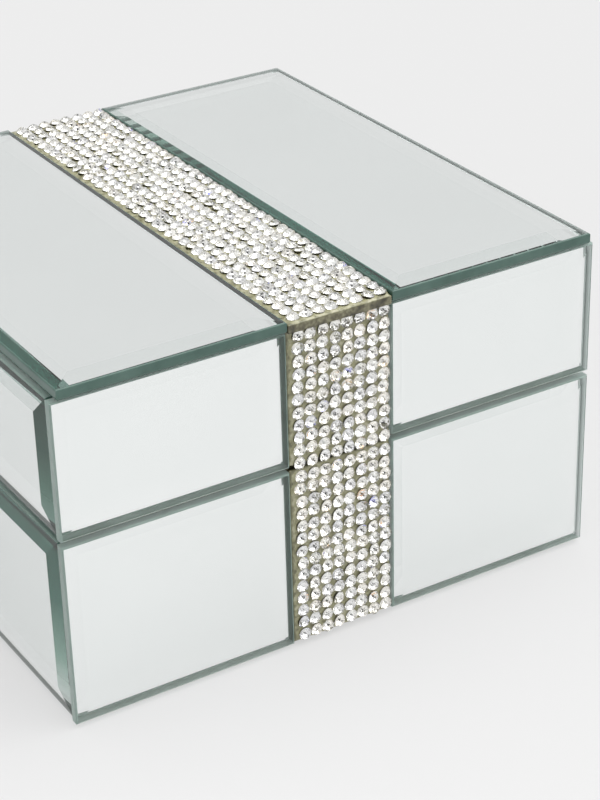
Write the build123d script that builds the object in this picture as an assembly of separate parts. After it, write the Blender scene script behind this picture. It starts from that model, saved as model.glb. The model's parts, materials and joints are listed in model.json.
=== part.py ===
"""Bevelled mirror trinket box with a hinged lid and a band of faceted stones.

The frame is millimetres, +Z up, with the origin on the resting plane at the
centre of the box. The front is towards -Y and the hinges are at the back, +Y.
"""
from build123d import *
import os

os.makedirs("parts", exist_ok=True)

# Outline of the box over its glass
WIDTH = 120.0
DEPTH = 119.0
HEIGHT = 72.7
BASE_RIM = 40.1
SEAM = 1.0

# Glass panes
GLASS = 3.0
BEVEL = 4.6
BEVEL_DROP = 0.57
TOP_INSET = 1.2         # top panes stop short of the box's left and right faces

# Board carcass, lining and underside
BOARD = 4.0
FELT = 1.0
LINING = 1.2
FLOOR_PAD = 2.0
LID_PAD = 1.6
RIM_VELVET = 0.4
LINING_TOP_GAP = 0.2

# Stone band
CHANNEL_HALF = 11.6
BACKING_HALF = 11.4
BACKING = 1.8
COLUMNS = 8
COLUMN_PITCH = 2.77
COLUMN_SHIFT = 0.5      # the stones sit a little right of the channel's middle
STONE_RADIUS = 1.3
TABLE_RADIUS = 0.68
STONE_HEIGHT = 1.2
STONE_SIDES = 8
TOP_ROWS = 44
TOP_PITCH = 2.68
LID_ROWS = 11
LID_PITCH = 2.69
LID_FIRST_ROW = 4.35    # below the top of the box
BASE_ROWS = 14
BASE_PITCH = 2.76
BASE_FIRST_ROW = 1.75   # below the rim of the base

# Hinges
HINGE_X = 32.0
HINGE_WIDTH = 20.0
LEAF = 0.4
LEAF_INSET = 52.7
KNUCKLE_RADIUS = 1.4
PIN_RADIUS = 0.7
PIN_CLEARANCE = 0.05
MIDDLE_KNUCKLE = 8.0
KNUCKLE_GAP = 0.2
AXIS_BEHIND = 1.9
LEAF_CLEARANCE = 0.3
STOP_REACH = 4.5
STOP_ROOT = 1.75
STOP_THICKNESS = 0.8
OPEN_ANGLE = 95.0
STOP_PLAY = 0.5
NOTCH_CLEARANCE = 0.3

# Hinge screws
SCREW_SPACING = 13.0
HEAD_RADIUS = 1.2
SHANK_RADIUS = 0.6
SHANK_LENGTH = 5.0
SCREW_CLEARANCE = 0.06
RECESS_WIDTH = 0.3
RECESS_LENGTH = 1.3
RECESS_DEPTH = 0.25

# Places that follow from the dimensions above
HALF_X = WIDTH / 2
HALF_Y = DEPTH / 2
CORE_X = HALF_X - GLASS
CORE_Y = HALF_Y - GLASS
INNER_X = CORE_X - BOARD
INNER_Y = CORE_Y - BOARD
LID_RIM = BASE_RIM + SEAM
CORE_TOP = HEIGHT - GLASS
LID_CEILING = CORE_TOP - BOARD
BASE_FLOOR = FELT + BOARD
BACKING_TOP = CORE_TOP + BACKING
AXIS_Y = HALF_Y + AXIS_BEHIND
AXIS_Z = BASE_RIM + SEAM / 2
SCREW_Y = CORE_Y - BOARD / 2


def block(low, high):
    """Box between two opposite corners."""
    size = [h - l for l, h in zip(low, high)]
    middle = [(l + h) / 2 for l, h in zip(low, high)]
    return Pos(*middle) * Box(*size)


def save(name, shape):
    """Writes one node's STEP file."""
    export_step(shape, f"parts/{name}.step")


# ---------------------------------------------------------------- glass panes
def pane(width, height):
    """Pane lying on its silvered back at z = 0, with all four face edges bevelled."""
    edge = GLASS - BEVEL_DROP
    slab = extrude(Rectangle(width, height), edge)
    outline = Plane.XY.offset(edge) * Rectangle(width, height)
    face = Plane.XY.offset(GLASS) * Rectangle(width - 2 * BEVEL, height - 2 * BEVEL)
    return slab + loft([outline, face])


def upright_pane(low, high, level, outward):
    """Pane standing on a side of the box, from low to high along that side."""
    bottom, top = level
    if outward[1]:
        centre = ((low + high) / 2, outward[1] * CORE_Y, (bottom + top) / 2)
        along = (-outward[1], 0, 0)
    else:
        centre = (outward[0] * CORE_X, (low + high) / 2, (bottom + top) / 2)
        along = (0, outward[0], 0)
    place = Plane(origin=centre, x_dir=along, z_dir=(outward[0], outward[1], 0))
    return place * pane(high - low, top - bottom)


def side_panes(prefix, level):
    """Panes round one half of the box; the front and back ones lap the sides."""
    save(f"{prefix}_front_left_mirror", upright_pane(-HALF_X, -CHANNEL_HALF, level, (0, -1)))
    save(f"{prefix}_front_right_mirror", upright_pane(CHANNEL_HALF, HALF_X, level, (0, -1)))
    save(f"{prefix}_back_mirror", upright_pane(-HALF_X, HALF_X, level, (0, 1)))
    save(f"{prefix}_left_mirror", upright_pane(-CORE_Y, CORE_Y, level, (-1, 0)))
    save(f"{prefix}_right_mirror", upright_pane(-CORE_Y, CORE_Y, level, (1, 0)))


def top_panes():
    """The two panes on the lid, one each side of the stone band."""
    outer = HALF_X - TOP_INSET
    width = outer - CHANNEL_HALF
    centre = (outer + CHANNEL_HALF) / 2
    for name, side in (("left", -1), ("right", 1)):
        save(f"lid_top_{name}_mirror", Pos(side * centre, 0, CORE_TOP) * pane(width, DEPTH))


# ------------------------------------------------------------- board carcass
def screw_holes(rim, into):
    """Pilot holes in the back wall's rim; into is -1 downwards or +1 upwards."""
    holes = []
    for x in screw_places():
        depth = SHANK_LENGTH + LEAF
        middle = (x, SCREW_Y, rim + into * depth / 2)
        holes.append(Pos(*middle) * Cylinder(SHANK_RADIUS + SCREW_CLEARANCE, depth))
    return holes


def walls(prefix, bottom, top, rim, into):
    """Four boards round one half; the front and back ones run the full width."""
    back = block((-CORE_X, INNER_Y, bottom), (CORE_X, CORE_Y, top))
    for hole in screw_holes(rim, into):
        back -= hole
    save(f"{prefix}_front_wall", block((-CORE_X, -CORE_Y, bottom), (CORE_X, -INNER_Y, top)))
    save(f"{prefix}_back_wall", back)
    save(f"{prefix}_left_wall", block((-CORE_X, -INNER_Y, bottom), (-INNER_X, INNER_Y, top)))
    save(f"{prefix}_right_wall", block((INNER_X, -INNER_Y, bottom), (CORE_X, INNER_Y, top)))


def carcass():
    """Boards of the base and of the lid."""
    save("base_bottom_board", block((-CORE_X, -CORE_Y, FELT), (CORE_X, CORE_Y, BASE_FLOOR)))
    walls("base", BASE_FLOOR, BASE_RIM, BASE_RIM, -1)
    walls("lid", LID_RIM, LID_CEILING, LID_RIM, 1)
    save("lid_top_board", block((-CORE_X, -CORE_Y, LID_CEILING), (CORE_X, CORE_Y, CORE_TOP)))


# -------------------------------------------------------------------- linings
def wall_linings(prefix, bottom, top):
    """Velvet-covered cards that line the four walls of one half."""
    inside_x = INNER_X - LINING
    inside_y = INNER_Y - LINING
    save(f"{prefix}_front_lining", block((-INNER_X, -INNER_Y, bottom), (INNER_X, -inside_y, top)))
    save(f"{prefix}_back_lining", block((-INNER_X, inside_y, bottom), (INNER_X, INNER_Y, top)))
    save(f"{prefix}_left_lining", block((-INNER_X, -inside_y, bottom), (-inside_x, inside_y, top)))
    save(f"{prefix}_right_lining", block((inside_x, -inside_y, bottom), (INNER_X, inside_y, top)))


def rim_velvet(bottom):
    """Velvet frame on a rim, cut away for the two hinge leaves."""
    outer = block((-CORE_X, -CORE_Y, bottom), (CORE_X, CORE_Y, bottom + RIM_VELVET))
    hole = block((-INNER_X, -INNER_Y, bottom), (INNER_X, INNER_Y, bottom + RIM_VELVET))
    frame = outer - hole
    half = HINGE_WIDTH / 2 + NOTCH_CLEARANCE
    for x in (-HINGE_X, HINGE_X):
        notch = block((x - half, INNER_Y - 1, bottom), (x + half, CORE_Y + 1, bottom + RIM_VELVET))
        frame -= notch
    return frame


def linings():
    """Everything soft: pads, wall linings, rim velvet and the felt underneath."""
    pad_top = BASE_FLOOR + FLOOR_PAD
    pad_bottom = LID_CEILING - LID_PAD
    save("base_floor_pad", block((-INNER_X, -INNER_Y, BASE_FLOOR), (INNER_X, INNER_Y, pad_top)))
    save("lid_ceiling_pad", block((-INNER_X, -INNER_Y, pad_bottom), (INNER_X, INNER_Y, LID_CEILING)))
    wall_linings("base", pad_top, BASE_RIM - LINING_TOP_GAP)
    wall_linings("lid", LID_RIM + LINING_TOP_GAP, pad_bottom)
    save("base_rim_velvet", rim_velvet(BASE_RIM))
    save("lid_rim_velvet", rim_velvet(LID_RIM - RIM_VELVET))
    save("base_felt_pad", block((-CORE_X, -CORE_Y, 0), (CORE_X, CORE_Y, FELT)))


# ----------------------------------------------------------------- stone band
def stone():
    """Crown of one faceted stone, standing on z = 0."""
    girdle = RegularPolygon(STONE_RADIUS, STONE_SIDES)
    table = Plane.XY.offset(STONE_HEIGHT) * RegularPolygon(TABLE_RADIUS, STONE_SIDES)
    return loft([girdle, table])


def stone_field(place, rows, pitch, first):
    """Rows of separate stones on a plane whose x runs across the band."""
    single = stone()
    stones = []
    for row in range(rows):
        for column in range(COLUMNS):
            across = COLUMN_SHIFT + (column - (COLUMNS - 1) / 2) * COLUMN_PITCH
            stones.append(place * Pos(across, first - row * pitch, 0) * single)
    return Compound(children=stones)


def band():
    """Backing strips in the channel between the panes, and the stones on them."""
    strip_face = -(CORE_Y + BACKING)
    half = BACKING_HALF
    save("lid_top_band", block((-half, -HALF_Y, CORE_TOP), (half, HALF_Y, BACKING_TOP)))
    save("lid_front_band", block((-half, strip_face, LID_RIM), (half, -CORE_Y, CORE_TOP)))
    save("base_front_band", block((-half, strip_face, FELT), (half, -CORE_Y, BASE_RIM)))

    top = Plane(origin=(0, 0, BACKING_TOP), x_dir=(1, 0, 0), z_dir=(0, 0, 1))
    front = Plane(origin=(0, strip_face, 0), x_dir=(1, 0, 0), z_dir=(0, -1, 0))
    first_top = (TOP_ROWS - 1) / 2 * TOP_PITCH
    save("lid_top_stones", stone_field(top, TOP_ROWS, TOP_PITCH, first_top))
    save("lid_front_stones", stone_field(front, LID_ROWS, LID_PITCH, HEIGHT - LID_FIRST_ROW))
    save("base_front_stones", stone_field(front, BASE_ROWS, BASE_PITCH, BASE_RIM - BASE_FIRST_ROW))


# --------------------------------------------------------------------- hinges
def rod(radius, x_low, x_high):
    """Cylinder along X on the hinge axis."""
    turned = Rotation(0, 90, 0) * Cylinder(radius, x_high - x_low)
    return Pos((x_low + x_high) / 2, AXIS_Y, AXIS_Z) * turned


def stop_tab(x_low, x_high, reach_from, angle, side):
    """Flat tab behind the barrel; its stop face lies on a radius at this angle."""
    length = STOP_REACH - reach_from
    tab = Pos(0, reach_from + length / 2, side * STOP_THICKNESS / 2) * Box(
        x_high - x_low, length, STOP_THICKNESS
    )
    return Pos((x_low + x_high) / 2, AXIS_Y, AXIS_Z) * Rotation(angle, 0, 0) * tab


def screw_places():
    """Places of the hinge screws along the rim."""
    half = SCREW_SPACING / 2
    return [x + dx for x in (-HINGE_X, HINGE_X) for dx in (-half, half)]


def screw(x, seat, into):
    """Countersunk screw whose head is flush with the leaf; into is -1 or +1."""
    head = Cone(SHANK_RADIUS, HEAD_RADIUS, LEAF)
    shank = Pos(0, 0, -(LEAF + SHANK_LENGTH) / 2) * Cylinder(SHANK_RADIUS, SHANK_LENGTH)
    body = head + shank
    for angle in (0, 90):
        slot = Box(RECESS_LENGTH, RECESS_WIDTH, 2 * RECESS_DEPTH)
        body -= Pos(0, 0, LEAF / 2) * Rotation(0, 0, angle) * slot
    upright = body if into < 0 else Rotation(180, 0, 0) * body
    return Pos(x, SCREW_Y, seat - into * LEAF / 2) * upright


def leaf_plate(x, bottom, seat, into):
    """Flat leaf on a rim, with a countersunk hole for each screw."""
    half = HINGE_WIDTH / 2
    edge = AXIS_Y - KNUCKLE_RADIUS - LEAF_CLEARANCE
    plate = block((x - half, LEAF_INSET, bottom), (x + half, edge, bottom + LEAF))
    small = SHANK_RADIUS + SCREW_CLEARANCE
    large = HEAD_RADIUS + SCREW_CLEARANCE
    for place in screw_places():
        if abs(place - x) < half:
            sink = Cone(small, large, LEAF) if into < 0 else Cone(large, small, LEAF)
            plate -= Pos(place, SCREW_Y, seat - into * LEAF / 2) * sink
    return plate


def hinge(name, x):
    """Stop hinge: base leaf with two knuckles, lid leaf with one, and the pin."""
    half = HINGE_WIDTH / 2
    inner = MIDDLE_KNUCKLE / 2
    outer = inner + KNUCKLE_GAP
    stop_angle = (OPEN_ANGLE + STOP_PLAY) / 2
    plate_edge = AXIS_Y - KNUCKLE_RADIUS - LEAF_CLEARANCE
    lower = BASE_RIM
    upper = LID_RIM - LEAF

    base_leaf = leaf_plate(x, lower, BASE_RIM, -1)
    tab = stop_tab(x - half, x + half, STOP_ROOT, -stop_angle, -1)
    base_leaf += tab
    for low, high in ((x - half, x - outer), (x + outer, x + half)):
        base_leaf += block((low, plate_edge, lower), (high, AXIS_Y, lower + LEAF))
        base_leaf += stop_tab(low, high, PIN_RADIUS, -stop_angle, -1)
        base_leaf += rod(KNUCKLE_RADIUS, low, high)
    base_leaf -= rod(PIN_RADIUS, x - half, x + half)
    save(f"{name}_hinge_base_leaf", base_leaf)

    low, high = x - inner, x + inner
    lid_leaf = leaf_plate(x, upper, LID_RIM, 1)
    lid_leaf += block((low, plate_edge, upper), (high, AXIS_Y, upper + LEAF))
    lid_leaf += stop_tab(low, high, PIN_RADIUS, stop_angle, 1)
    lid_leaf += rod(KNUCKLE_RADIUS, low, high)
    lid_leaf -= rod(PIN_RADIUS + PIN_CLEARANCE, low, high)
    save(f"{name}_hinge_lid_leaf", lid_leaf)

    save(f"{name}_hinge_pin", rod(PIN_RADIUS, x - half, x + half))


def hinges():
    """Both hinges and their screws."""
    hinge("left", -HINGE_X)
    hinge("right", HINGE_X)
    save("base_hinge_screws", Compound(children=[screw(x, BASE_RIM, -1) for x in screw_places()]))
    save("lid_hinge_screws", Compound(children=[screw(x, LID_RIM, 1) for x in screw_places()]))


side_panes("base", (FELT, BASE_RIM))
side_panes("lid", (LID_RIM, CORE_TOP))
top_panes()
carcass()
linings()
band()
hinges()
print("hinge axis at y", AXIS_Y, "z", AXIS_Z, "and opens to", OPEN_ANGLE, "degrees")
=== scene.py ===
"""Looks of the mirrored trinket box, built round its CAD frame."""
import json
import math
import random

import bpy
from mathutils import Matrix, Vector, noise

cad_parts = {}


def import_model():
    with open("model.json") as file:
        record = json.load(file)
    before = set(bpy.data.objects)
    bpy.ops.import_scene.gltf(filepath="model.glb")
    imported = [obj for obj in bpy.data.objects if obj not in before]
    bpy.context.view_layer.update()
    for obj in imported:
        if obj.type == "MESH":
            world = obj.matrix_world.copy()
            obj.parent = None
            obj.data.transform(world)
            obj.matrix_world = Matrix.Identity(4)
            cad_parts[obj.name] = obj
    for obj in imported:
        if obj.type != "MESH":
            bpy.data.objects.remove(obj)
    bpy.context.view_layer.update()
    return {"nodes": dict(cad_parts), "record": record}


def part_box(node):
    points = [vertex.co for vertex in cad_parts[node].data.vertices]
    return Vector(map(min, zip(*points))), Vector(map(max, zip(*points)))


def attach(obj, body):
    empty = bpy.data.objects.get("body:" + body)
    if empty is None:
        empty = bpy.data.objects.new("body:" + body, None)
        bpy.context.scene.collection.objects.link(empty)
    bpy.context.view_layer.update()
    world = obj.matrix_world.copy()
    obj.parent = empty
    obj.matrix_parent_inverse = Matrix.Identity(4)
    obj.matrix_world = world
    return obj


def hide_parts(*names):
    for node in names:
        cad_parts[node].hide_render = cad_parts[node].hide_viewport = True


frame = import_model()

MM = 0.001
SEED = 574

# Glass
BEVEL = 4.6 * MM
BEVEL_DROP = 0.57 * MM
BEVEL_SPLIT = 0.45
FRONT_ROUND = 0.35 * MM
BACK_ROUND = 0.80 * MM
ROUND_STEPS = 5
OPEN_HAZE = 0.8
HIDDEN_HAZE = 0.12
RIM_HAZE = 0.5
RIM_INNER_HAZE = 0.35
FOOT_INNER_HAZE = 0.20
PANE_GAP = 0.06 * MM
BACK_GAP = 0.03 * MM
GLASS_IOR = 1.52

# Stones of the band
COLUMNS = 8
STONE_RADIUS = 1.34 * MM
STONE_SIDES = 8
STONE_TABLE = 0.47
STONE_STAR = 0.73
GIRDLE_LIFT = 0.34 * MM
GIRDLE_THICK = 0.08 * MM
CROWN = 0.74 * MM
PAVILION = 1.02 * MM
PLACE_JITTER = 0.12 * MM
TILT_JITTER = {
    "lid_top": math.radians(6.5),
    "lid_front": math.radians(6),
    "base_front": math.radians(6),
}
SETTLE_ROUNDS = 12
# share of foil facets tinted blue or amber: painted glints standing in for the coloured flashes of
# dispersion
GLINT_PAINT_SHARE = 0.006

# Resin under the stones
RESIN_CELL = 0.25 * MM
MENISCUS = 0.34 * MM
MENISCUS_REACH = 0.55 * MM
SEAT_SLOPE = 1.25
SEAT_STEP = 0.06 * MM

# Soft goods
PILE_RADIUS = 0.5 * MM
PAD_CELL = 2.6 * MM
PAD_SWELL = 0.8 * MM
SWELL_GIVE = 0.15
SWELL_STEPS = 20
GLUED_ROWS = 4
RIM_WIDTH = 4.0 * MM
NOTCH_X = 32.0 * MM
NOTCH_HALF = 10.3 * MM

# Camera
CAMERA_PLACE = (-0.1973, -0.3702, 0.2495)
CAMERA_TURN = (61.87, 1.346, -31.894)
CAMERA_LENS = 99.14

# Light
FLOOR_ALBEDO = 0.22
FLOOR_GLOW = 0.535
# painted light: a brighter pool on the floor in front of the box
FRONT_PAINTED_LIGHT = 0.09
PAINTED_LIGHT_CENTRE = (-0.10, -0.28, 0.0)
PAINTED_LIGHT_REACH = 0.45
# painted shadow: a darker patch on the floor left of the box, towards the back
LEFT_PAINTED_SHADE = 0.08
PAINTED_SHADE_CENTRE = (-0.15, 0.09, 0.0)
PAINTED_SHADE_REACH = 0.13
WORLD_PALE = 0.78
LAMP_TONE = 2.4
FLAG_TONE = 0.03
SUN_ENERGY = 0.6


# ------------------------------------------------------------ material helpers
def material(name):
    """New node material; returns it with its tree and its Principled node."""
    mat = bpy.data.materials.new(name)
    mat.use_nodes = True
    tree = mat.node_tree
    return mat, tree, tree.nodes["Principled BSDF"]


def add(tree, kind, **values):
    """Adds a node and sets its properties or its inputs by name."""
    made = tree.nodes.new(kind)
    for key, value in values.items():
        if key in made.inputs:
            made.inputs[key].default_value = value
        else:
            setattr(made, key, value)
    return made


def wire(tree, source, target):
    tree.links.new(source, target)


def place_noise(tree, scale, detail=4.0, roughness=0.55):
    """Noise in the object's own coordinates."""
    coords = add(tree, "ShaderNodeTexCoord")
    made = add(tree, "ShaderNodeTexNoise", Scale=scale, Detail=detail, Roughness=roughness)
    wire(tree, coords.outputs["Object"], made.inputs["Vector"])
    return made


def ramp(tree, source, stops):
    """Colour ramp between (position, colour) stops."""
    made = add(tree, "ShaderNodeValToRGB")
    band = made.color_ramp
    while len(band.elements) < len(stops):
        band.elements.new(0.5)
    for element, (position, colour) in zip(band.elements, stops):
        element.position = position
        element.color = (*colour, 1.0)
    wire(tree, source, made.inputs["Fac"])
    return made


def spread(tree, source, low, high, out_low, out_high):
    """Maps a value's range onto another."""
    made = add(tree, "ShaderNodeMapRange")
    for key, value in (("From Min", low), ("From Max", high), ("To Min", out_low), ("To Max", out_high)):
        made.inputs[key].default_value = value
    wire(tree, source, made.inputs["Value"])
    return made


def bump(tree, shader, source, strength, distance):
    """Bump from a height value."""
    made = add(tree, "ShaderNodeBump", Strength=strength, Distance=distance)
    wire(tree, source, made.inputs["Height"])
    wire(tree, made.outputs["Normal"], shader.inputs["Normal"])
    return made


def absorb(tree):
    """The green that float glass takes on over a long way through it."""
    volume = add(tree, "ShaderNodeVolumeAbsorption", Color=(0.10, 0.44, 0.34, 1.0), Density=13.0)
    wire(tree, volume.outputs["Volume"], tree.nodes["Material Output"].inputs["Volume"])


# ------------------------------------------------------------------- materials
def glass_face():
    mat, tree, shader = material("float_glass")
    shader.inputs["Base Color"].default_value = (1.0, 1.0, 1.0, 1.0)
    shader.inputs["Transmission Weight"].default_value = 1.0
    shader.inputs["IOR"].default_value = GLASS_IOR
    shader.inputs["Roughness"].default_value = 0.0
    absorb(tree)
    return mat


def painted_shade_bevel(name, axis, clear, dark):
    """Bevel with painted shade: a green tint that darkens along an axis stands in for light trapped in the
    pane.

    It is clear at one place along the axis and darkest at another."""
    mat, tree, shader = material(name)
    coords = add(tree, "ShaderNodeTexCoord")
    along = add(tree, "ShaderNodeVectorMath", operation="DOT_PRODUCT")
    along.inputs[1].default_value = axis
    wire(tree, coords.outputs["Object"], along.inputs[0])
    part = spread(tree, along.outputs["Value"], clear, dark, 0.0, 1.0)
    # painted shade: the stops run from nearly clear to deep green
    stops = [(0.0, (0.80, 0.88, 0.85)), (0.45, (0.22, 0.42, 0.32)), (1.0, (0.020, 0.120, 0.080))]
    tint = ramp(tree, part.outputs["Result"], stops)
    wire(tree, tint.outputs["Color"], shader.inputs["Base Color"])
    shader.inputs["Transmission Weight"].default_value = 1.0
    shader.inputs["IOR"].default_value = GLASS_IOR
    shader.inputs["Roughness"].default_value = 0.0
    absorb(tree)
    return mat


def glass_edge(name, tones, inside, outside):
    """The seamed edge of a pane: dark green, or lighter green that is painted light, with a haze of light
    through it.

    inside and outside are the shares of that haze seen from within the glass
    and from without."""
    mat, tree, shader = material(name)
    marks = place_noise(tree, 160.0, 3.0)
    tint = ramp(tree, marks.outputs["Fac"], tones)
    wire(tree, tint.outputs["Color"], shader.inputs["Base Color"])
    shader.inputs["Roughness"].default_value = 0.16
    haze = add(tree, "ShaderNodeBsdfTranslucent", Color=(0.86, 0.90, 0.89, 1.0))
    side = add(tree, "ShaderNodeNewGeometry")
    share = spread(tree, side.outputs["Backfacing"], 0.0, 1.0, outside, inside)
    both = add(tree, "ShaderNodeMixShader")
    wire(tree, share.outputs["Result"], both.inputs[0])
    wire(tree, shader.outputs["BSDF"], both.inputs[1])
    wire(tree, haze.outputs["BSDF"], both.inputs[2])
    wire(tree, both.outputs["Shader"], tree.nodes["Material Output"].inputs["Surface"])
    return mat


def silvering():
    """The silver seen through the glass, with a faint unevenness."""
    mat, tree, shader = material("silvering")
    cloud = place_noise(tree, 35.0, 2.0)
    tint = ramp(tree, cloud.outputs["Fac"], [(0.3, (0.965, 0.965, 0.965)), (0.7, (0.980, 0.980, 0.980))])
    wire(tree, tint.outputs["Color"], shader.inputs["Base Color"])
    shader.inputs["Metallic"].default_value = 1.0
    shader.inputs["Roughness"].default_value = 0.0
    return mat


def crystal():
    mat, _, shader = material("stone_crystal")
    shader.inputs["Base Color"].default_value = (1.0, 1.0, 0.99, 1.0)
    shader.inputs["Transmission Weight"].default_value = 1.0
    shader.inputs["IOR"].default_value = 1.60
    shader.inputs["Roughness"].default_value = 0.0
    return mat


def foil(name, stops):
    """Foil behind the stones; each stone catches a slightly different tint."""
    mat, tree, shader = material(name)
    cells = place_noise(tree, 420.0, 0.0)
    tint = ramp(tree, cells.outputs["Fac"], stops)
    wire(tree, tint.outputs["Color"], shader.inputs["Base Color"])
    shader.inputs["Metallic"].default_value = 1.0
    shader.inputs["Roughness"].default_value = 0.03
    return mat


def resin(name, stops, depth):
    """Olive resin under the stones, wet-looking and a little cloudy."""
    mat, tree, shader = material(name)
    cloud = place_noise(tree, 700.0, 5.0)
    tint = ramp(tree, cloud.outputs["Fac"], stops)
    wire(tree, tint.outputs["Color"], shader.inputs["Base Color"])
    shader.inputs["Roughness"].default_value = 0.28
    shader.inputs["Coat Weight"].default_value = 0.5
    shader.inputs["Coat Roughness"].default_value = 0.12
    bump(tree, shader, cloud.outputs["Fac"], 0.5, depth)
    return mat


def fibreboard():
    mat, tree, shader = material("fibreboard")
    fibres = place_noise(tree, 1400.0, 6.0, 0.7)
    tint = ramp(
        tree,
        fibres.outputs["Fac"],
        [
            (0.30, (0.17, 0.10, 0.055)),
            (0.55, (0.33, 0.22, 0.13)),
            (0.75, (0.44, 0.32, 0.20)),
        ],
    )
    wire(tree, tint.outputs["Color"], shader.inputs["Base Color"])
    shader.inputs["Roughness"].default_value = 0.8
    bump(tree, shader, fibres.outputs["Fac"], 0.4, 0.0001)
    return mat


def pile(name, dark, light, scale, sheen):
    """Short pile: dark threads whose tips catch the light."""
    mat, tree, shader = material(name)
    tips = place_noise(tree, scale, 5.0, 0.7)
    lay = place_noise(tree, 60.0, 3.0)
    both = add(tree, "ShaderNodeMath", operation="MULTIPLY_ADD")
    both.inputs[1].default_value = 0.6
    wire(tree, tips.outputs["Fac"], both.inputs[0])
    part = spread(tree, lay.outputs["Fac"], 0.3, 0.7, 0.0, 0.4)
    wire(tree, part.outputs["Result"], both.inputs[2])
    tint = ramp(tree, both.outputs["Value"], [(0.25, dark), (0.75, light)])
    wire(tree, tint.outputs["Color"], shader.inputs["Base Color"])
    shader.inputs["Roughness"].default_value = 0.95
    shader.inputs["Sheen Weight"].default_value = sheen
    shader.inputs["Sheen Roughness"].default_value = 0.35
    shader.inputs["Sheen Tint"].default_value = (0.75, 0.77, 0.85, 1.0)
    bump(tree, shader, tips.outputs["Fac"], 0.8, 0.0002)
    return mat


def plated(name, colour, roughness):
    """Plated metal with fine rolling marks."""
    mat, tree, shader = material(name)
    marks = place_noise(tree, 1200.0, 4.0)
    tone = ramp(tree, marks.outputs["Fac"], [(0.3, [c * 0.88 for c in colour]), (0.7, colour)])
    wire(tree, tone.outputs["Color"], shader.inputs["Base Color"])
    shader.inputs["Metallic"].default_value = 1.0
    rough = spread(tree, marks.outputs["Fac"], 0.3, 0.7, roughness * 0.7, roughness * 1.4)
    wire(tree, rough.outputs["Result"], shader.inputs["Roughness"])
    return mat


EDGE_GREENS = [(0.30, (0.050, 0.104, 0.084)), (0.50, (0.066, 0.130, 0.106)), (0.72, (0.088, 0.156, 0.130))]
# painted light: the rim and foot greens are lighter copies of the edge green, standing in for light that
# reaches those edges through the glass
RIM_PAINTED_LIGHT_GREENS = [(0.30, (0.195, 0.300, 0.255)), (0.50, (0.245, 0.365, 0.315)), (0.72, (0.300, 0.430, 0.375))]
FOOT_PAINTED_LIGHT_GREENS = [(0.30, (0.420, 0.530, 0.475)), (0.50, (0.490, 0.600, 0.545)), (0.72, (0.560, 0.670, 0.615))]
MATERIALS = {
    "glass": glass_face(),
    # painted shade: bevels of the top and left panes get a tint that darkens along the pane
    "top_bevel": painted_shade_bevel("painted_shade_top_bevel", (0, 1, 0), 0.056, 0.016),
    "lid_bevel": painted_shade_bevel("painted_shade_lid_bevel", (0, 0, 1), 0.0425, 0.058),
    "base_bevel": painted_shade_bevel("painted_shade_base_bevel", (0, 0, 1), 0.003, 0.026),
    "edge": glass_edge("seamed_glass_edge", EDGE_GREENS, OPEN_HAZE, 0.0),
    "hidden_edge": glass_edge("covered_glass_edge", EDGE_GREENS, HIDDEN_HAZE, 0.0),
    "rim_edge_painted_light": glass_edge("rim_glass_edge_painted_light", RIM_PAINTED_LIGHT_GREENS, RIM_INNER_HAZE, RIM_HAZE),
    "foot_edge_painted_light": glass_edge("foot_glass_edge_painted_light", FOOT_PAINTED_LIGHT_GREENS, FOOT_INNER_HAZE, RIM_HAZE),
    "silver": silvering(),
    "crystal": crystal(),
    "foil": foil(
        "stone_foil",
        [(0.35, (0.86, 0.86, 0.87)), (0.50, (0.93, 0.93, 0.91)), (0.65, (0.95, 0.93, 0.89))],
    ),
    # painted glints: blue and amber foils stand in for the coloured flashes of dispersion
    "fire_blue": foil("foil_fire_blue_painted_glint", [(0.3, (0.36, 0.38, 0.90)), (0.7, (0.50, 0.50, 0.95))]),
    "fire_amber": foil("foil_fire_amber_painted_glint", [(0.3, (0.90, 0.56, 0.34)), (0.7, (0.95, 0.76, 0.52))]),
    "resin": resin(
        "olive_resin",
        [(0.28, (0.075, 0.070, 0.030)), (0.50, (0.19, 0.185, 0.100)), (0.74, (0.38, 0.37, 0.24))],
        0.00012,
    ),
    # painted light: the lip of resin round each stone is a real raised shape, but its paler tone stands in
    # for light the stones pass onto it
    "resin_lip": resin(
        "resin_lip_painted_light",
        [(0.28, (0.15, 0.14, 0.070)), (0.50, (0.33, 0.32, 0.18)), (0.74, (0.54, 0.52, 0.37))],
        0.00010,
    ),
    # painted shade: the strip's walls get a darker copy of the same resin
    "resin_side": resin(
        "olive_resin_side_painted_shade",
        [(0.34, (0.030, 0.026, 0.012)), (0.50, (0.115, 0.105, 0.055)), (0.68, (0.26, 0.25, 0.15))],
        0.00025,
    ),
    "board": fibreboard(),
    "velvet": pile("black_velvet", (0.004, 0.004, 0.005), (0.022, 0.022, 0.026), 2600.0, 0.6),
    "felt": pile("black_felt", (0.010, 0.010, 0.011), (0.045, 0.045, 0.048), 1800.0, 0.3),
    "nickel": plated("nickel_plate", (0.80, 0.78, 0.74), 0.16),
    "screw": plated("screw_steel", (0.66, 0.66, 0.67), 0.24),
}


# --------------------------------------------------------------- mesh helpers
def shown(name, verts, faces, slots, face_slots, body, node, smooth=False):
    """Makes a piece from mesh data that replaces one CAD node."""
    mesh = bpy.data.meshes.new(name)
    mesh.from_pydata(verts, [], faces)
    for key in slots:
        mesh.materials.append(MATERIALS[key])
    mesh.polygons.foreach_set("material_index", face_slots)
    mesh.polygons.foreach_set("use_smooth", [smooth] * len(faces))
    mesh.update()
    piece = bpy.data.objects.new(name, mesh)
    bpy.context.scene.collection.objects.link(piece)
    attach(piece, body)
    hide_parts(node)
    return piece


def nodes_named(ending):
    """CAD nodes whose names end so, with the body each rides on."""
    bodies = frame["record"]["behaviour"]["bodies"]
    return [(n, body) for body, names in bodies.items() for n in names if n.endswith(ending)]


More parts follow.
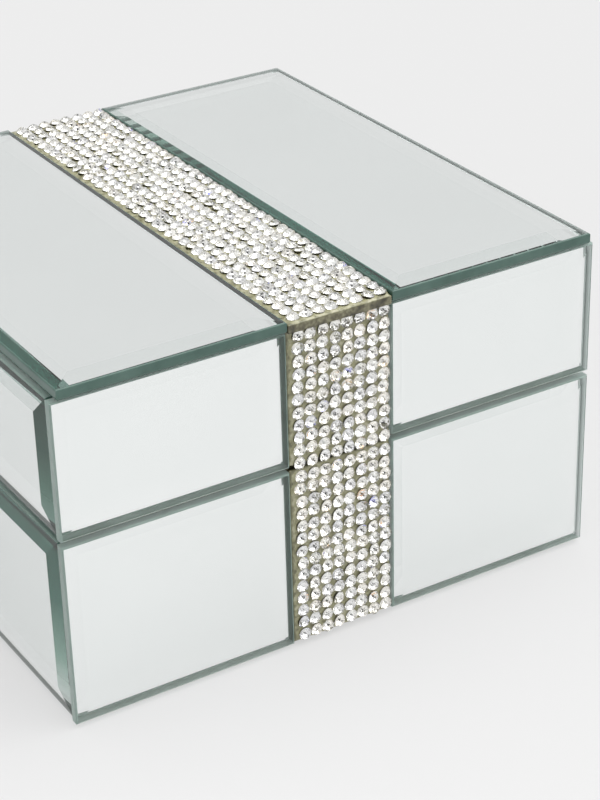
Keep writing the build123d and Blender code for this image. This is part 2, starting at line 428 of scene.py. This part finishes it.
# --------------------------------------------------------------------- panes
PANE_FACING = {
    "top_left": (0, 0, 1),
    "top_right": (0, 0, 1),
    "front_left": (0, -1, 0),
    "front_right": (0, -1, 0),
    "back": (0, 1, 0),
    "left": (-1, 0, 0),
    "right": (1, 0, 0),
}


PANE_SLOTS = [
    "glass",
    "silver",
    "edge",
    "hidden_edge",
    "rim_edge_painted_light",
    "foot_edge_painted_light",
    "top_bevel",
    "lid_bevel",
    "base_bevel",
]


def facing_of(node):
    """Outward direction of a pane, from the middle of its name."""
    middle = node.split("_", 1)[1].rsplit("_", 1)[0]
    return Vector(PANE_FACING[middle])


def pane_axes(out):
    """Two directions along a pane that make a right-handed set with out."""
    across = Vector((0, 0, 1)).cross(out) if abs(out.z) < 0.5 else Vector((1, 0, 0))
    return across, out.cross(across)


def edge_kind(node, side):
    """Edge material of a pane's side: 0 foot, 2 head, 1 and 3 its ends."""
    # rim and foot edges take the lighter greens, which are painted light
    if "_top_" in node:
        return "edge"
    if "_front_" in node:
        if side == 0:
            return "foot_edge_painted_light"
        far_end = "_right_" in node and side == 1
        return "edge" if far_end else "rim_edge_painted_light"
    return "rim_edge_painted_light" if side == 2 else "hidden_edge"


def bevel_kind(node, side, outer):
    """Bevel material of a pane's side: those that would look dark from trapped light get painted shade.

    outer is true for the half of the bevel that is nearer the edge."""
    part, out = node.split("_")[0], facing_of(node)
    if out.z and side == 3 and outer:
        return "top_bevel"
    if out.x < 0 and (side == 1 or part == "base" and side == 2):
        return f"{part}_bevel"
    return "glass"


def build_pane(node, body):
    """Bevelled glass with a silvered back and seamed, rounded edges."""
    low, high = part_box(node)
    out = facing_of(node)
    across, along = pane_axes(out)
    centre = (Vector(low) + Vector(high)) / 2
    size = Vector(high) - Vector(low)
    half_w = abs(size.dot(across)) / 2 - PANE_GAP
    half_h = abs(size.dot(along)) / 2 - PANE_GAP
    thick = abs(size.dot(out))
    back = centre - out * thick / 2
    edge = thick - BEVEL_DROP
    slope = BEVEL_DROP / BEVEL
    levels = []
    for step in range(ROUND_STEPS + 1):
        turn = math.pi / 2 * step / ROUND_STEPS
        rise = BACK_GAP + BACK_ROUND * (1 - math.cos(turn))
        levels.append((rise, BACK_ROUND * (1 - math.sin(turn)), "edge"))
    for step in range(ROUND_STEPS + 1):
        turn = math.pi / 2 * step / ROUND_STEPS
        inset = FRONT_ROUND * (1 - math.cos(turn))
        rise = edge + FRONT_ROUND * (slope - 1 + math.sin(turn))
        levels.append((rise, inset, "edge"))
    levels.append((thick - BEVEL_DROP * (1 - BEVEL_SPLIT), BEVEL * BEVEL_SPLIT, "outer"))
    levels.append((thick, BEVEL, "inner"))
    verts = []
    for rise, inset, _ in levels:
        w, h = half_w - inset, half_h - inset
        for a, b in ((-w, -h), (w, -h), (w, h), (-w, h)):
            verts.append(back + across * a + along * b + out * rise)
    faces = [(3, 2, 1, 0)]
    face_slots = [PANE_SLOTS.index("silver")]
    for ring in range(1, len(levels)):
        start = ring * 4 - 4
        for i in range(4):
            j = (i + 1) % 4
            faces.append((start + i, start + j, start + 4 + j, start + 4 + i))
            zone = levels[ring][2]
            key = edge_kind(node, i) if zone == "edge" else bevel_kind(node, i, zone == "outer")
            face_slots.append(PANE_SLOTS.index(key))
    top = len(verts) - 4
    faces.append((top, top + 1, top + 2, top + 3))
    face_slots.append(PANE_SLOTS.index("glass"))
    name = node.replace("_mirror", "_bevelled_pane")
    return shown(name, verts, faces, PANE_SLOTS, face_slots, body, node)


for node, body in nodes_named("_mirror"):
    build_pane(node, body)


# -------------------------------------------------------------------- stones
def cut_stone():
    """One foiled chaton of unit girdle radius, its girdle's foot at z = 0.

    Returns its points, its faces, and which material each face has."""
    n = STONE_SIDES
    lift = GIRDLE_THICK / STONE_RADIUS
    crown = CROWN / STONE_RADIUS
    depth = PAVILION / STONE_RADIUS

    def ring(count, radius, height, turn=0.0):
        return [
            Vector((
                radius * math.cos(2 * math.pi * (i + turn) / count),
                radius * math.sin(2 * math.pi * (i + turn) / count),
                height,
            ))
            for i in range(count)
        ]

    table = ring(n, STONE_TABLE, lift + crown)
    star = ring(n, STONE_STAR, lift + crown * 0.62, 0.5)
    girdle_top = ring(2 * n, 1.0, lift)
    girdle_foot = ring(2 * n, 1.0, 0.0)
    lower = ring(n, 0.5, -depth * 0.48, 0.5)
    culet = [Vector((0, 0, -depth))]
    points = table + star + girdle_top + girdle_foot + lower + culet
    t, s, g, f, l, c = 0, n, 2 * n, 4 * n, 6 * n, 7 * n
    faces = [tuple(range(n))]
    kinds = [0]
    for i in range(n):
        j = (i + 1) % n
        k = (i - 1) % n
        corner, between, after = g + 2 * i, g + 2 * i + 1, g + (2 * i + 2) % (2 * n)
        crown_faces = [
            (t + i, s + i, t + j),
            (t + i, s + k, corner),
            (t + i, corner, s + i),
            (s + i, corner, between),
            (s + i, between, after),
        ]
        faces += crown_faces
        kinds += [0] * len(crown_faces)
        a, b, d = f + 2 * i, f + 2 * i + 1, f + (2 * i + 2) % (2 * n)
        faces += [(corner, a, b, between), (between, b, d, after)]
        kinds += [0, 0]
        foil_faces = [(a, l + i, b), (b, l + i, d), (a, l + k, l + i), (l + k, c, l + i)]
        faces += foil_faces
        kinds += [1] * len(foil_faces)
    return points, faces, kinds


BAND_FACING = {
    "lid_top": (Vector((0, 0, 1)), Vector((0, 1, 0))),
    "lid_front": (Vector((0, -1, 0)), Vector((0, 0, 1))),
    "base_front": (Vector((0, -1, 0)), Vector((0, 0, 1))),
}


def settle(places, limit):
    """Pushes neighbouring stones apart where they overlap."""
    for i, one in enumerate(places):
        for step in (1, COLUMNS - 1, COLUMNS, COLUMNS + 1):
            if i + step >= len(places):
                continue
            other = places[i + step]
            gap = Vector((other[0] - one[0], other[1] - one[1]))
            short = one[2] + other[2] - gap.length
            if short > 0:
                push = gap.normalized() * short / 2
                one[0], one[1] = one[0] - push.x, one[1] - push.y
                other[0], other[1] = other[0] + push.x, other[1] + push.y
        one[0] = max(-limit, min(limit, one[0]))


def stone_places(part):
    """Where each stone of a band sits, each a little out of line.

    Returns the point under the middle of the field and (across, along, size)
    for every stone, measured from that point."""
    rng = random.Random(f"{SEED}{part}")
    out, along = BAND_FACING[part]
    low, high = (Vector(v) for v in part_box(f"{part}_stones"))
    size = high - low
    foot = (low + high) / 2 - out * abs(size.dot(out)) / 2
    length = abs(size.dot(along)) - 2 * STONE_RADIUS
    pitch = (size.x - 2 * STONE_RADIUS) / (COLUMNS - 1)
    rows = round(length / pitch) + 1
    drift = [rng.gauss(0, PLACE_JITTER) for _ in range(rows)]
    limit = (COLUMNS - 1) / 2 * pitch + 0.08 * MM
    places = []
    for row in range(rows):
        for column in range(COLUMNS):
            a = (column - (COLUMNS - 1) / 2) * pitch + drift[row] + rng.gauss(0, PLACE_JITTER * 0.6)
            b = (row / (rows - 1) - 0.5) * length + rng.gauss(0, PLACE_JITTER)
            places.append([a, b, STONE_RADIUS * rng.uniform(0.975, 1.01)])
    for _ in range(SETTLE_ROUNDS):
        settle(places, limit)
    return foot, places


def build_stones(part, body):
    """All stones of one band as one piece."""
    rng = random.Random(f"{SEED}{part}cut")
    out, along = BAND_FACING[part]
    foot, places = stone_places(part)
    points, faces, kinds = cut_stone()
    basis = Matrix((Vector((1, 0, 0)), along, out)).transposed()
    verts, all_faces, all_kinds = [], [], []
    for a, b, grow in places:
        tilt = Matrix.Rotation(rng.gauss(0, TILT_JITTER[part]), 3, "X")
        tilt = tilt @ Matrix.Rotation(rng.gauss(0, TILT_JITTER[part]), 3, "Y")
        tilt = tilt @ Matrix.Rotation(rng.uniform(0, math.pi), 3, "Z")
        lift = GIRDLE_LIFT + rng.gauss(0, 0.03 * MM)
        start = len(verts)
        for p in points:
            q = tilt @ (p * grow)
            verts.append(foot + basis @ Vector((a + q.x, b + q.y, lift + q.z)))
        all_faces += [tuple(start + i for i in face) for face in faces]
        for kind in kinds:
            # a few foil facets take a tinted foil, a painted glint
            painted_glint_facet = kind == 1 and rng.random() < GLINT_PAINT_SHARE
            all_kinds.append(rng.choice((2, 3)) if painted_glint_facet else kind)
    slots = ["crystal", "foil", "fire_blue", "fire_amber"]
    return shown(f"{part}_cut_stones", verts, all_faces, slots, all_kinds, body, f"{part}_stones")


# --------------------------------------------------------------------- reliefs
def relief(name, base, axes, us, vs, height, layers, keys, body, node, pick=None):
    """Closed piece with a height field on its outward side and layered walls.

    base is the point at u = v = 0 on the back, axes are the u, v and outward
    directions, layers gives each lower ring as (share of the height, inset), and
    keys are the materials, the walls' last; pick chooses each face's from i, j."""
    across, along, out = axes
    nu, nv = len(us), len(vs)
    verts, faces = [], []

    def place(u, v, h):
        return base + across * u + along * v + out * h

    for v in vs:
        for u in us:
            verts.append(place(u, v, height(u, v)))
    for j in range(nv - 1):
        for i in range(nu - 1):
            a = j * nu + i
            faces.append((a, a + 1, a + nu + 1, a + nu))
    face_count = len(faces)
    rim = [(i, 0) for i in range(nu)] + [(nu - 1, j) for j in range(1, nv)]
    rim += [(i, nv - 1) for i in range(nu - 2, -1, -1)] + [(0, j) for j in range(nv - 2, 0, -1)]
    ring = [j * nu + i for i, j in rim]
    for share, inset in layers:
        start = len(verts)
        for i, j in rim:
            u, v = us[i], vs[j]
            h = height(u, v) * share
            slip = inset(u, v) if callable(inset) else inset
            u += slip if i == 0 else -slip if i == nu - 1 else 0
            v += slip if j == 0 else -slip if j == nv - 1 else 0
            verts.append(place(u, v, h))
        lower = list(range(start, len(verts)))
        for k in range(len(ring)):
            n = (k + 1) % len(ring)
            faces.append((ring[k], lower[k], lower[n], ring[n]))
        ring = lower
    faces.append(tuple(reversed(ring)))
    face_slots = [pick(i, j) if pick else 0 for j in range(nv - 1) for i in range(nu - 1)]
    face_slots += [len(keys) - 1] * (len(faces) - face_count)
    return shown(name, verts, faces, keys, face_slots, body, node, True)


def even(length, cell):
    """Evenly spaced places from 0 to length."""
    count = max(2, round(length / cell))
    return [length * i / count for i in range(count + 1)]


def eased(length, radius, cell):
    """Places from 0 to length, closer together inside a radius of each end."""
    ends = [radius * (1 - math.cos(math.radians(18 * k))) for k in range(5)]
    middle = [radius + p for p in even(length - 2 * radius, cell)]
    return ends + middle + [length - e for e in reversed(ends)]


def rounded(u, v, width, length, radius):
    """Drop from the full height near the border of a rounded slab."""
    near = min(u, v, width - u, length - v)
    if near >= radius:
        return 0.0
    away = radius - max(near, 0.0)
    return radius - math.sqrt(max(radius * radius - away * away, 0.0))


# ----------------------------------------------------------------------- resin
def build_resin(part, body):
    """Olive strip with a raised lip of resin and a seat for each stone."""
    out, along = BAND_FACING[part]
    node = f"{part}_band"
    low, high = (Vector(v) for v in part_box(node))
    size = high - low
    width, length, thick = size.x, abs(size.dot(along)), abs(size.dot(out))
    base = Vector((low.x, high.y if out.y else low.y, low.z))
    across = Vector((1, 0, 0))
    us, vs = even(width, RESIN_CELL), even(length, RESIN_CELL)
    step_u, step_v = us[1], vs[1]
    foot, places = stone_places(part)
    shift_u, shift_v = (foot - base).dot(across), (foot - base).dot(along)
    rise = {}
    for a, b, radius in places:
        u0, v0 = a + shift_u, b + shift_v
        reach = radius + MENISCUS_REACH
        for i in range(max(0, int((u0 - reach) / step_u)), min(len(us), int((u0 + reach) / step_u) + 2)):
            for j in range(max(0, int((v0 - reach) / step_v)), min(len(vs), int((v0 + reach) / step_v) + 2)):
                away = math.hypot(us[i] - u0, vs[j] - v0) - radius
                if away > MENISCUS_REACH:
                    continue
                if away < 0:
                    lift = MENISCUS + away * SEAT_SLOPE - SEAT_STEP
                    known = rise.get((i, j), 1.0)
                    rise[i, j] = min(known, lift) if known < 0 else lift
                else:
                    lift = MENISCUS * (1 - away / MENISCUS_REACH) ** 2
                    rise[i, j] = max(rise.get((i, j), 0.0), lift)
    heights = {}
    for j, v in enumerate(vs):
        for i, u in enumerate(us):
            rough = noise.noise(Vector((u * 900, v * 900, len(part)))) * 0.05 * MM
            rough += noise.noise(Vector((u * 260, v * 260, 7.0))) * 0.06 * MM
            edge = min(u, width - u, v, length - v)
            worn = max(0.0, 1 - edge / (0.35 * MM)) ** 2 * 0.16 * MM
            heights[u, v] = thick + rise.get((i, j), 0.0) + rough - worn

    def ragged(turn):
        return lambda u, v: (0.06 + 0.07 * noise.noise(Vector((u * 420, v * 420, turn)))) * MM

    layers = [
        (0.80, ragged(1.0)),
        (0.62, lambda u, v: -0.02 * MM),
        (0.45, ragged(2.0)),
        (0.28, lambda u, v: -0.01 * MM),
        (0.12, ragged(3.0)),
        (0.0, 0.0),
    ]
    axes = (across, along, out)
    if across.cross(along).dot(out) < 0:
        raise ValueError("the band's axes are left-handed")
    # the raised lip round the stones takes the paler resin, whose tone is painted light
    def lip(i, j):
        return 1 if rise.get((i, j), 0.0) or rise.get((i + 1, j + 1), 0.0) else 0

    # the walls take the darker resin, which is painted shade
    return relief(
        f"{part}_resin_strip", base, axes, us, vs, lambda u, v: heights[u, v],
        layers, ["resin", "resin_lip", "resin_side"], body, node, lip,
    )


for part in BAND_FACING:
    body = "lid" if part.startswith("lid") else "base"
    build_stones(part, body)
    build_resin(part, body)


# ------------------------------------------------------------------ soft goods
def soften(piece, pins, cap):
    """Swells a pad with a cloth simulation and keeps every point within cap."""
    mesh = piece.data
    rest = [v.co.copy() for v in mesh.vertices]
    group = piece.vertex_groups.new(name="glued")
    group.add(pins, 1.0, "REPLACE")
    cloth = piece.modifiers.new("swell", "CLOTH")
    settings = cloth.settings
    settings.quality = 6
    settings.mass = 0.2
    settings.vertex_group_mass = "glued"
    settings.effector_weights.gravity = 0.0
    settings.use_pressure = True
    settings.uniform_pressure_force = 4.0
    settings.tension_stiffness = 18
    settings.compression_stiffness = 18
    settings.bending_stiffness = 0.4
    cloth.point_cache.frame_start = 1
    cloth.point_cache.frame_end = SWELL_STEPS
    for step in range(1, SWELL_STEPS + 1):
        bpy.context.scene.frame_set(step)
    shaped = piece.evaluated_get(bpy.context.evaluated_depsgraph_get())
    moved = [v.co.copy() for v in shaped.data.vertices]
    piece.modifiers.remove(cloth)
    piece.vertex_groups.clear()
    bpy.context.scene.frame_set(1)
    for vertex, before, after in zip(mesh.vertices, rest, moved):
        push = after - before
        if push.length > cap:
            push *= cap * (1 + SWELL_GIVE * (1 - cap / push.length)) / push.length
        vertex.co = before + push
    mesh.update()


def slab_frame(node, out):
    """Corner, axes and size of a slab whose soft side faces out."""
    low, high = (Vector(v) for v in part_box(node))
    across, along = pane_axes(out)
    size = high - low
    width, length, thick = (abs(size.dot(d)) for d in (across, along, out))
    centre = (low + high) / 2
    base = centre - across * width / 2 - along * length / 2 - out * thick / 2
    return base, (across, along, out), width, length, thick


def build_pad(node, body, name, out):
    """Thin cushion glued down round its border, with a tucked and rounded edge."""
    base, axes, width, length, thick = slab_frame(node, out)
    gap = 0.15 * MM
    base += (axes[0] + axes[1]) * gap
    width, length = width - 2 * gap, length - 2 * gap
    radius = 1.1 * MM
    us, vs = eased(width, radius, PAD_CELL), eased(length, radius, PAD_CELL)

    def height(u, v):
        ripple = noise.noise(Vector((u * 55, v * 55, 3.0))) * 0.10 * MM
        near = min(u, v, width - u, length - v)
        tuck = math.exp(-near / (2.2 * MM)) * noise.noise(Vector((u * 170, v * 170, 5.0))) * 0.18 * MM
        drop = rounded(u, v, width, length, radius)
        return thick - 0.25 * MM - drop + ripple * min(1.0, near / (4 * MM)) + tuck

    layers = [(0.45, 0.0), (0.0, 0.05 * MM)]
    piece = relief(name, base, axes, us, vs, height, layers, ["velvet"], body, node)
    nu, nv = len(us), len(vs)
    glued = [
        j * nu + i
        for j in range(nv)
        for i in range(nu)
        if min(i, j, nu - 1 - i, nv - 1 - j) < GLUED_ROWS
    ]
    glued += range(nu * nv, len(piece.data.vertices))
    soften(piece, glued, PAD_SWELL)
    fold = piece.modifiers.new("smooth", "SUBSURF")
    fold.levels = fold.render_levels = 1
    return piece


def build_lining(node, body, out):
    """Velvet wrapped over a card: rounded where the pile turns over the edge."""
    base, axes, width, length, thick = slab_frame(node, out)
    radius = PILE_RADIUS
    us, vs = eased(width, radius, PAD_CELL), eased(length, radius, PAD_CELL)
    seed = float(sum(map(ord, node)) % 97)

    def height(u, v):
        swell = 0.22 * MM * (1 - (2 * u / width - 1) ** 6) * (1 - (2 * v / length - 1) ** 4)
        wander = noise.noise(Vector((u * 90, v * 90, seed))) * 0.07 * MM
        return thick - 0.2 * MM - rounded(u, v, width, length, radius) + swell + wander

    name = node.replace("_lining", "_velvet_lining")
    layers = [(0.5, 0.0), (0.0, 0.0)]
    piece = relief(name, base, axes, us, vs, height, layers, ["velvet"], body, node)
    return piece


def build_rim(node, body, out):
    """Velvet frame round a rim, mitred at its corners and cut for the hinges."""
    low, high = (Vector(v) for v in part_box(node))
    thick = high.z - low.z
    foot = low.z if out.z > 0 else high.z
    x, y = high.x, high.y
    gap = 0.04 * MM
    cut_low, cut_high = NOTCH_X - NOTCH_HALF, NOTCH_X + NOTCH_HALF
    strips = [
        ((-x, -y), (x, -y), (0, 1), (1, 1)),
        ((x, -y), (x, y), (-1, 0), (1, 1)),
        ((-x, y), (-x, -y), (1, 0), (1, 1)),
        ((x, y), (cut_high, y), (0, -1), (1, 0)),
        ((cut_low, y), (-cut_low, y), (0, -1), (0, 0)),
        ((-cut_high, y), (-x, y), (0, -1), (0, 1)),
    ]
    verts, faces = [], []
    for index, (start, end, inward, mitres) in enumerate(strips):
        run = Vector((end[0] - start[0], end[1] - start[1], 0))
        length = run.length - 2 * gap
        run.normalize()
        side = Vector((*inward, 0))
        corner = Vector((*start, foot)) + run * gap
        radius = 0.13 * MM
        us, vs = eased(length, radius, PAD_CELL), eased(RIM_WIDTH, radius, 0.8 * MM)
        begin = len(verts)
        for layer in range(2):
            for v in vs:
                for u in us:
                    share = u / length
                    slid = u + mitres[0] * v * (1 - share) - mitres[1] * v * share
                    if layer:
                        h = 0.0
                    else:
                        wander = noise.noise(Vector((u * 300, v * 300, index * 9.0))) * 0.03 * MM
                        h = thick - 0.03 * MM - rounded(u, v, length, RIM_WIDTH, radius) + wander
                    verts.append(corner + run * slid + side * v + out * h)
        nu, nv = len(us), len(vs)
        top, bottom = begin, begin + nu * nv
        flip = run.cross(side).dot(out) < 0

        def face(*corners):
            faces.append(tuple(reversed(corners)) if flip else corners)

        for j in range(nv - 1):
            for i in range(nu - 1):
                a = j * nu + i
                face(top + a, top + a + 1, top + a + nu + 1, top + a + nu)
                face(bottom + a + nu, bottom + a + nu + 1, bottom + a + 1, bottom + a)
        rim = [(i, 0) for i in range(nu)] + [(nu - 1, j) for j in range(1, nv)]
        rim += [(i, nv - 1) for i in range(nu - 2, -1, -1)] + [(0, j) for j in range(nv - 2, 0, -1)]
        ring = [j * nu + i for i, j in rim]
        for k, a in enumerate(ring):
            b = ring[(k + 1) % len(ring)]
            face(top + a, bottom + a, bottom + b, top + b)
    name = node.replace("_rim_velvet", "_rim_velvet_frame")
    return shown(name, verts, faces, ["velvet"], [0] * len(faces), body, node, True)


def build_felt(node, body):
    """Felt sheet under the box, its edge a little ragged."""
    base, axes, width, length, thick = slab_frame(node, Vector((0, 0, -1)))
    radius = 0.35 * MM
    us, vs = eased(width, radius, PAD_CELL), eased(length, radius, PAD_CELL)

    def height(u, v):
        fuzz = noise.noise(Vector((u * 400, v * 400, 2.0))) * 0.05 * MM
        return thick - 0.05 * MM - rounded(u, v, width, length, radius) + fuzz

    def fray(u, v):
        return (0.08 + 0.08 * noise.noise(Vector((u * 350, v * 350, 4.0)))) * MM

    layers = [(0.5, fray), (0.0, 0.0)]
    piece = relief("base_felt_sheet", base, axes, us, vs, height, layers, ["felt"], body, node)
    return piece


UP = Vector((0, 0, 1))
build_pad("base_floor_pad", "base", "base_velvet_cushion", UP)
build_pad("lid_ceiling_pad", "lid", "lid_velvet_cushion", -UP)
INWARD = {
    "front": Vector((0, 1, 0)),
    "back": Vector((0, -1, 0)),
    "left": Vector((1, 0, 0)),
    "right": Vector((-1, 0, 0)),
}
for node, body in nodes_named("_lining"):
    build_lining(node, body, INWARD[node.split("_")[1]])
build_rim("base_rim_velvet", "base", UP)
build_rim("lid_rim_velvet", "lid", -UP)
build_felt("base_felt_pad", "base")


# ---------------------------------------------------- CAD nodes that stay shown
def dress(node, key, edge):
    """Gives a CAD node its material and a fine broken edge."""
    piece = frame["nodes"][node]
    piece.data.materials.clear()
    piece.data.materials.append(MATERIALS[key])
    if edge:
        broken = piece.modifiers.new("broken_edge", "BEVEL")
        broken.width = edge
        broken.segments = 2
        broken.limit_method = "ANGLE"
        broken.angle_limit = math.radians(40)


DRESS = {
    "_board": ("board", 0.25 * MM),
    "_wall": ("board", 0.0),
    "_leaf": ("nickel", 0.0),
    "_pin": ("nickel", 0.0),
    "_screws": ("screw", 0.0),
}
for ending, (key, edge) in DRESS.items():
    for node, _ in nodes_named(ending):
        dress(node, key, edge)


# --------------------------------------------------------------- floor, light
def pool(tree, centre, reach, middle, beyond):
    """Value that eases from the middle of a round patch of floor outwards."""
    coords = add(tree, "ShaderNodeTexCoord")
    away = add(tree, "ShaderNodeVectorMath", operation="DISTANCE")
    away.inputs[1].default_value = centre
    wire(tree, coords.outputs["Object"], away.inputs[0])
    tone = spread(tree, away.outputs["Value"], 0.0, reach, middle, beyond)
    tone.interpolation_type = "SMOOTHSTEP"
    return tone.outputs["Result"]


def floor():
    """Pale paper on a light table, so that shadows on it stay faint; it carries a painted pool of light in
    front and a painted shadow on the left.
    """
    mesh = bpy.data.meshes.new("floor")
    reach = 4.0
    verts = [(-reach, -reach, 0), (reach, -reach, 0), (reach, reach, 0), (-reach, reach, 0)]
    mesh.from_pydata(verts, [], [(0, 1, 2, 3)])
    mat, tree, shader = material("floor_paper")
    shader.inputs["Base Color"].default_value = (FLOOR_ALBEDO, FLOOR_ALBEDO, FLOOR_ALBEDO, 1)
    shader.inputs["Roughness"].default_value = 0.9
    shader.inputs["Specular IOR Level"].default_value = 0.0
    shader.inputs["Emission Color"].default_value = (1, 1, 1, 1)
    # painted light: the floor glows more in a pool in front of the box
    front = pool(tree, PAINTED_LIGHT_CENTRE, PAINTED_LIGHT_REACH, FLOOR_GLOW + FRONT_PAINTED_LIGHT, FLOOR_GLOW)
    # painted shadow: less glow in a patch on the left
    left = pool(tree, PAINTED_SHADE_CENTRE, PAINTED_SHADE_REACH, LEFT_PAINTED_SHADE, 0.0)
    glow = add(tree, "ShaderNodeMath", operation="SUBTRACT")
    wire(tree, front, glow.inputs[0])
    wire(tree, left, glow.inputs[1])
    wire(tree, glow.outputs["Value"], shader.inputs["Emission Strength"])
    mesh.materials.append(mat)
    piece = bpy.data.objects.new("floor", mesh)
    bpy.context.scene.collection.objects.link(piece)


def patch(tree, direction, outer, inner, low, high):
    """Value that eases from low to high within an angle of a direction."""
    coords = add(tree, "ShaderNodeTexCoord")
    facing = add(tree, "ShaderNodeVectorMath", operation="DOT_PRODUCT")
    facing.inputs[1].default_value = Vector(direction).normalized()
    wire(tree, coords.outputs["Generated"], facing.inputs[0])
    rim, core = (math.cos(math.radians(angle)) for angle in (outer, inner))
    tone = spread(tree, facing.outputs["Value"], rim, core, low, high)
    tone.interpolation_type = "SMOOTHSTEP"
    return tone.outputs["Result"]


def world():
    """Pale studio with a soft lamp overhead and a dark flag in front, on the left."""
    sky = bpy.data.worlds.new("studio")
    bpy.context.scene.world = sky
    sky.use_nodes = True
    tree = sky.node_tree
    backdrop = tree.nodes["Background"]
    backdrop.inputs["Color"].default_value = (1, 1, 1, 1)
    lamp = patch(tree, (0.25, -0.15, 1.0), 42, 28, WORLD_PALE, LAMP_TONE)
    flag = patch(tree, (-0.42, -0.77, 0.48), 22, 11, 1.0, FLAG_TONE)
    both = add(tree, "ShaderNodeMath", operation="MULTIPLY")
    wire(tree, lamp, both.inputs[0])
    wire(tree, flag, both.inputs[1])
    wire(tree, both.outputs["Value"], backdrop.inputs["Strength"])


def sun():
    data = bpy.data.lights.new("soft_key", "SUN")
    data.energy = SUN_ENERGY
    data.angle = math.radians(50)
    lamp = bpy.data.objects.new("soft_key", data)
    bpy.context.scene.collection.objects.link(lamp)
    lamp.rotation_euler = Vector((0.6, -0.35, 1.0)).to_track_quat("Z", "Y").to_euler()


def camera():
    data = bpy.data.cameras.new("camera")
    data.lens = CAMERA_LENS
    data.sensor_width = 36
    data.clip_start = 0.01
    piece = bpy.data.objects.new("camera", data)
    piece.location = CAMERA_PLACE
    piece.rotation_euler = [math.radians(a) for a in CAMERA_TURN]
    bpy.context.scene.collection.objects.link(piece)
    bpy.context.scene.camera = piece


floor()
world()
sun()
camera()

scene = bpy.context.scene
scene.view_settings.view_transform = "Standard"
scene.cycles.max_bounces = 32
scene.cycles.glossy_bounces = 32
scene.cycles.transmission_bounces = 32
scene.cycles.caustics_reflective = True
scene.cycles.caustics_refractive = True
